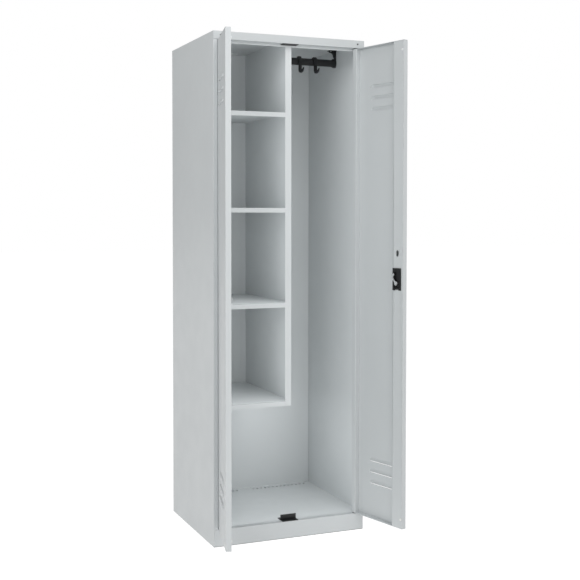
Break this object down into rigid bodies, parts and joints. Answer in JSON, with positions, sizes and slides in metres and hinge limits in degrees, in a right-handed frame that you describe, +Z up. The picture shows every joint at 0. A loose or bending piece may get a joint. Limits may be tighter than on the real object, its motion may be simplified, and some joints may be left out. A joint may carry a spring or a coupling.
{
  "type": "locker cabinet",
  "caption": "Tall steel utility locker with hinged louvred doors, shelves beside a full-height hanging space, a rail with sliding coat hooks and a rod lock.",
  "frame": {"origin": "middle of the flange under the plinth, on the floor, 10 mm behind the front plane of the cabinet", "axes": "+Z up, +Y from the front towards the back, +X to the right as seen from the front"},
  "size_m": [0.7012, 0.7533, 1.85],
  "materials": {
    "light_grey_powder_coat": "satin light grey powder coat with a very fine texture",
    "black_powder_coat": "satin black powder coat",
    "black_plastic": "moulded black nylon, lightly grained",
    "zinc_plated_steel": "bright zinc plating",
    "clear_rubber": "milky clear soft rubber"
  },
  "bodies": {
    "cabinet": {"left_side_panel": "light_grey_powder_coat", "right_side_panel": "light_grey_powder_coat", "back_panel": "light_grey_powder_coat", "top_panel": "light_grey_powder_coat", "base_panel": "light_grey_powder_coat", "divider_panel": "light_grey_powder_coat", "shelf_1": "light_grey_powder_coat", "shelf_2": "light_grey_powder_coat", "shelf_3": "light_grey_powder_coat", "shelf_4": "light_grey_powder_coat", "hanging_rail": "black_powder_coat", "top_catch": "black_powder_coat", "bottom_catch": "black_powder_coat", "rail_bracket_left": "black_plastic", "rail_bracket_right": "black_plastic", "left_lower_washer": "black_plastic", "left_upper_washer": "black_plastic", "right_lower_washer": "black_plastic", "right_upper_washer": "black_plastic", "rail_screw_1": "zinc_plated_steel", "rail_screw_2": "zinc_plated_steel", "rail_screw_3": "zinc_plated_steel", "rail_screw_4": "zinc_plated_steel", "bottom_catch_screw_1": "zinc_plated_steel", "bottom_catch_screw_2": "zinc_plated_steel", "top_catch_screw_1": "zinc_plated_steel", "top_catch_screw_2": "zinc_plated_steel", "left_lower_pin": "zinc_plated_steel", "left_upper_pin": "zinc_plated_steel", "right_lower_pin": "zinc_plated_steel", "right_upper_pin": "zinc_plated_steel", "fascia_plug_left": "black_plastic", "fascia_plug_right": "black_plastic"},
    "left_door": {"left_door_panel": "light_grey_powder_coat", "left_door_channel": "light_grey_powder_coat", "left_door_keeper": "light_grey_powder_coat", "left_lower_bumper": "clear_rubber", "left_upper_bumper": "clear_rubber"},
    "right_door": {"right_door_panel": "light_grey_powder_coat", "right_door_channel": "light_grey_powder_coat", "right_lower_bumper": "clear_rubber", "right_upper_bumper": "clear_rubber", "lock_body": "black_plastic", "lock_escutcheon": "black_plastic", "upper_rod_guide": "zinc_plated_steel", "lower_rod_guide": "zinc_plated_steel", "lock_screw_1": "black_plastic", "lock_screw_2": "black_plastic"},
    "lock_spindle": {"turn_knob": "black_plastic", "rod_crank": "zinc_plated_steel", "latch_lever": "zinc_plated_steel", "latch_screw": "zinc_plated_steel"},
    "key_cylinder": {"lock_cylinder": "zinc_plated_steel"},
    "upper_lock_rod": {"upper_rod": "zinc_plated_steel"},
    "lower_lock_rod": {"lower_rod": "zinc_plated_steel"},
    "left_hook": {"coat_hook_1": "black_plastic"},
    "right_hook": {"coat_hook_2": "black_plastic"}
  },
  "joints": [
    {"name": "left_door_swing", "type": "hinge", "parent": "cabinet", "child": "left_door", "pos_m": [-0.27052, -0.00025, 0.9415], "axis": [0, 0, 1], "range_deg": [0, 104]},
    {"name": "right_door_swing", "type": "hinge", "parent": "cabinet", "child": "right_door", "pos_m": [0.27052, -0.00025, 0.9415], "axis": [0, 0, 1], "range_deg": [-104, 0]},
    {"name": "knob_turn", "type": "hinge", "parent": "right_door", "child": "lock_spindle", "pos_m": [0.33696, -0.22642, 0.95], "axis": [0.9703, 0.2419, 0], "range_deg": [0, 90]},
    {"name": "key_turn", "type": "hinge", "parent": "lock_spindle", "child": "key_cylinder", "pos_m": [0.33696, -0.22642, 0.95], "axis": [0.9703, 0.2419, 0], "range_deg": [0, 90]},
    {"name": "upper_rod_slide", "type": "slide", "parent": "right_door", "child": "upper_lock_rod", "axis": [0, 0, 1], "range_m": [0, 0.01205]},
    {"name": "lower_rod_slide", "type": "slide", "parent": "right_door", "child": "lower_lock_rod", "axis": [0, 0, -1], "range_m": [0, 0.01205]},
    {"name": "left_hook_slide", "type": "slide", "parent": "cabinet", "child": "left_hook", "axis": [1, 0, 0], "range_m": [-0.1, 0.023]},
    {"name": "right_hook_slide", "type": "slide", "parent": "cabinet", "child": "right_hook", "axis": [1, 0, 0], "range_m": [-0.023, 0.065]}
  ],
  "couplings": [
    {"joint": "upper_rod_slide", "follows": "knob_turn", "m_per_rad": 0.0076527},
    {"joint": "lower_rod_slide", "follows": "knob_turn", "m_per_rad": 0.0076527}
  ]
}
